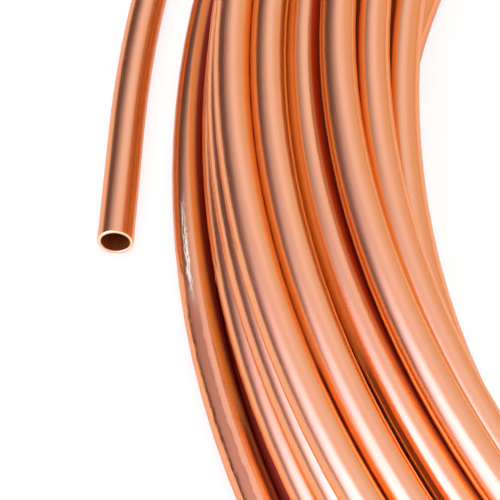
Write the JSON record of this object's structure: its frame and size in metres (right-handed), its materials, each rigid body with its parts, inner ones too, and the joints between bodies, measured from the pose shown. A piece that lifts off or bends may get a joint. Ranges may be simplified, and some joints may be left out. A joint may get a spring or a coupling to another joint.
{
  "type": "copper tube coil",
  "caption": "Coil of soft copper tube wound in layers round an open eye, lying flat, with a cut, open free end beside the outermost turn.",
  "frame": {"origin": "on the coil's axis, on the floor that the coil lies on", "axes": "+Z along the coil's axis, up from the floor; -X towards the side where the outer free end lies, which points roughly along -Y"},
  "size_m": [0.7042, 0.6844, 0.0423],
  "materials": {
    "copper": "bright drawn copper, satin"
  },
  "bodies": {
    "root": {"copper_tube_coil": "copper"}
  },
  "joints": []
}
